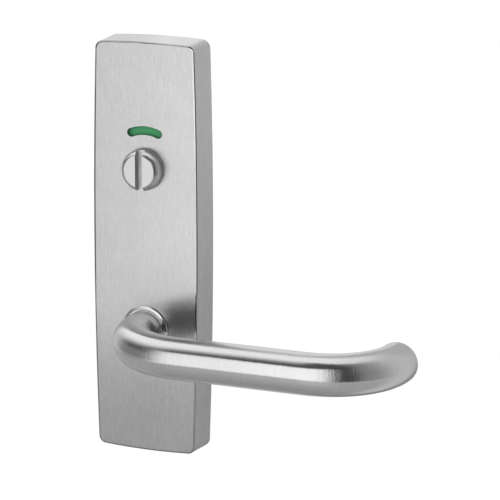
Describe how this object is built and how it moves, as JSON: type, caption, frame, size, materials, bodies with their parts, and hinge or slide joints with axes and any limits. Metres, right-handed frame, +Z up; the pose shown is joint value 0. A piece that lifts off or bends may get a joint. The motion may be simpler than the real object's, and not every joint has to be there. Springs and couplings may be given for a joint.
{
  "type": "privacy lever handle",
  "caption": "Return-to-door lever on a long plate with a coin-slot turn and a green and red indicator window, sprung, with through-door posts and spindles.",
  "frame": {"origin": "centre of the back face, on the door, midway between the lever axis and the turn axis", "axes": "+Z up, +X towards the lever's grip, +Y into the door, so the lever stands out along -Y"},
  "size_m": [0.1658, 0.1162, 0.2],
  "materials": {
    "satin_stainless": "satin, fine straight grain",
    "plated_steel": "bright zinc plated",
    "spring_steel": "oiled",
    "zinc_casting": "as cast",
    "acetal": "moulded",
    "indicator_green": "satin",
    "indicator_red": "satin"
  },
  "bodies": {
    "plate": {"cover_plate": "satin_stainless", "chassis_plate": "zinc_casting", "mounting_posts": "plated_steel", "cover_screws": "plated_steel", "lever_collar": "satin_stainless", "lever_bush": "acetal", "spring_cover": "plated_steel", "spring_cover_screws": "plated_steel", "return_spring": "spring_steel", "turn_bush": "acetal", "turn_washer": "acetal"},
    "lever": {"lever_handle": "satin_stainless", "lever_end_cap": "satin_stainless", "lever_hub": "satin_stainless", "spindle_pin": "spring_steel", "lever_spindle": "plated_steel", "spring_carrier": "plated_steel", "hub_washer": "plated_steel", "hub_circlip": "spring_steel"},
    "turn": {"turn_knob": "satin_stainless", "turn_circlips": "spring_steel", "indicator_disc": "acetal", "vacant_sector": "indicator_green", "engaged_sector": "indicator_red", "turn_tail": "plated_steel"}
  },
  "joints": [
    {"name": "lever_turn", "type": "hinge", "parent": "plate", "child": "lever", "pos_m": [0, 0, -0.039], "axis": [0, 1, 0], "range_deg": [0, 45], "stiffness_Nm_per_rad": 1.2, "springref_deg": -28.65, "deforming": ["return_spring"]},
    {"name": "privacy_turn", "type": "hinge", "parent": "plate", "child": "turn", "pos_m": [0, 0, 0.039], "axis": [0, 1, 0], "range_deg": [0, 90]}
  ]
}
